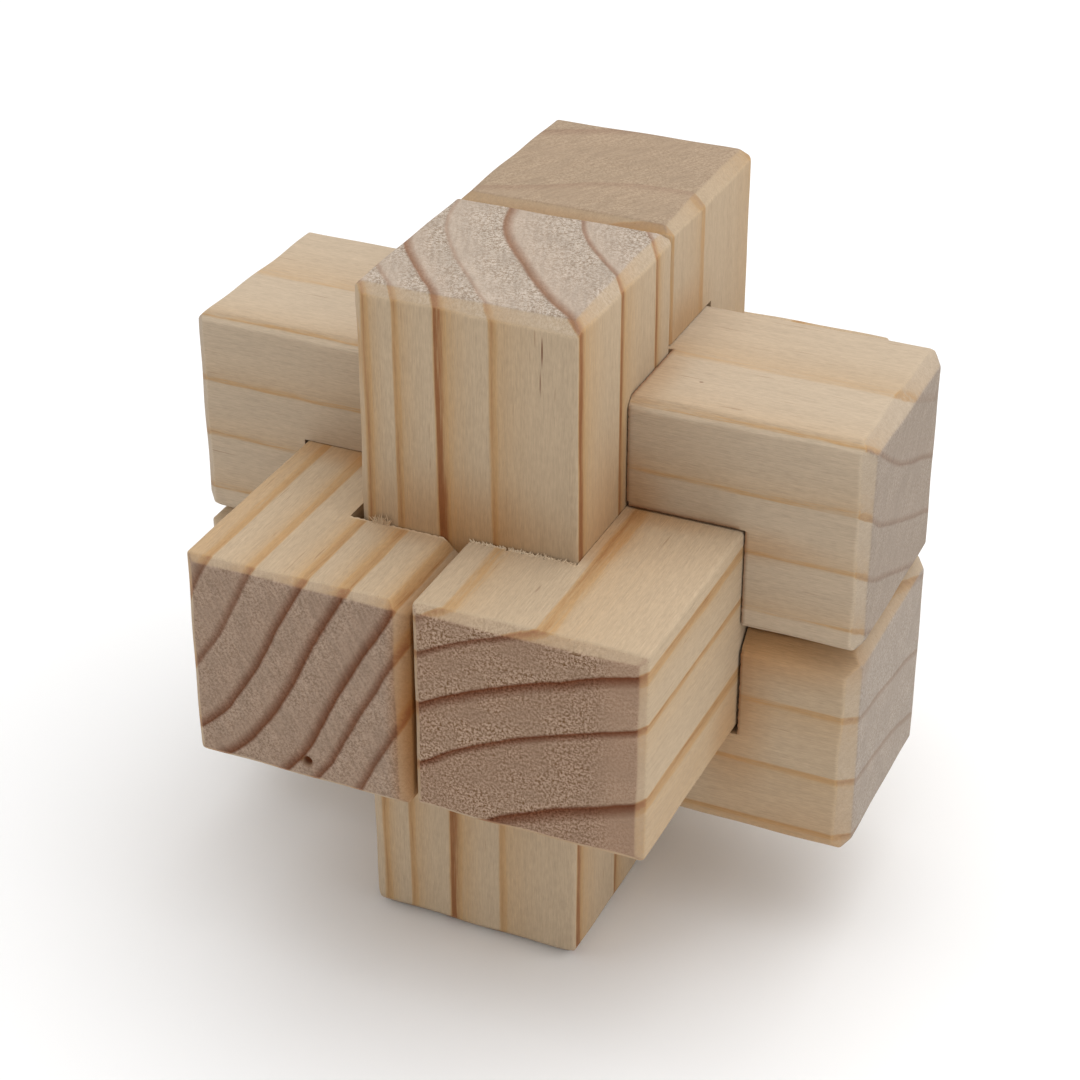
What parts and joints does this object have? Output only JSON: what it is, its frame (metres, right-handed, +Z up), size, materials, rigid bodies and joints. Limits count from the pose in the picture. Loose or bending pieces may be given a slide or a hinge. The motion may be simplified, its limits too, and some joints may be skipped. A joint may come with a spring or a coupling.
{
  "type": "six-stick burr puzzle",
  "caption": "Wooden burr puzzle of interlocking square sticks that cross at right angles in pairs, with one plain stick that slides out as the key.",
  "frame": {"origin": "middle of the assembled puzzle, where the three pairs of sticks cross", "axes": "+Z up along the upright pair, +Y towards the back along the front-to-back pair, +X to the right along the left-to-right pair; the key stick is the front upright one and slides out along +Z"},
  "size_m": [0.062, 0.062, 0.062],
  "materials": {
    "key_pine": "bare sanded pine, matt, wide orange-brown growth rings",
    "back_pine": "bare sanded pine, matt, pinkish end grain",
    "upper_pine": "bare sanded pine, matt, palest stick with faint grain",
    "lower_pine": "bare sanded pine, matt, sparse curved grain lines",
    "left_pine": "bare sanded pine, matt, saw-marked end grain with curved brown rings",
    "right_pine": "bare sanded pine, matt, speckled end grain with broad brown rings"
  },
  "bodies": {
    "locked_sticks": {"back_stick": "back_pine", "upper_stick": "upper_pine", "lower_stick": "lower_pine", "left_stick": "left_pine", "right_stick": "right_pine"},
    "key": {"key_stick": "key_pine"}
  },
  "joints": [
    {"name": "key_slide", "type": "slide", "parent": "locked_sticks", "child": "key", "axis": [0, 0, 1], "range_m": [0, 0.065]}
  ]
}
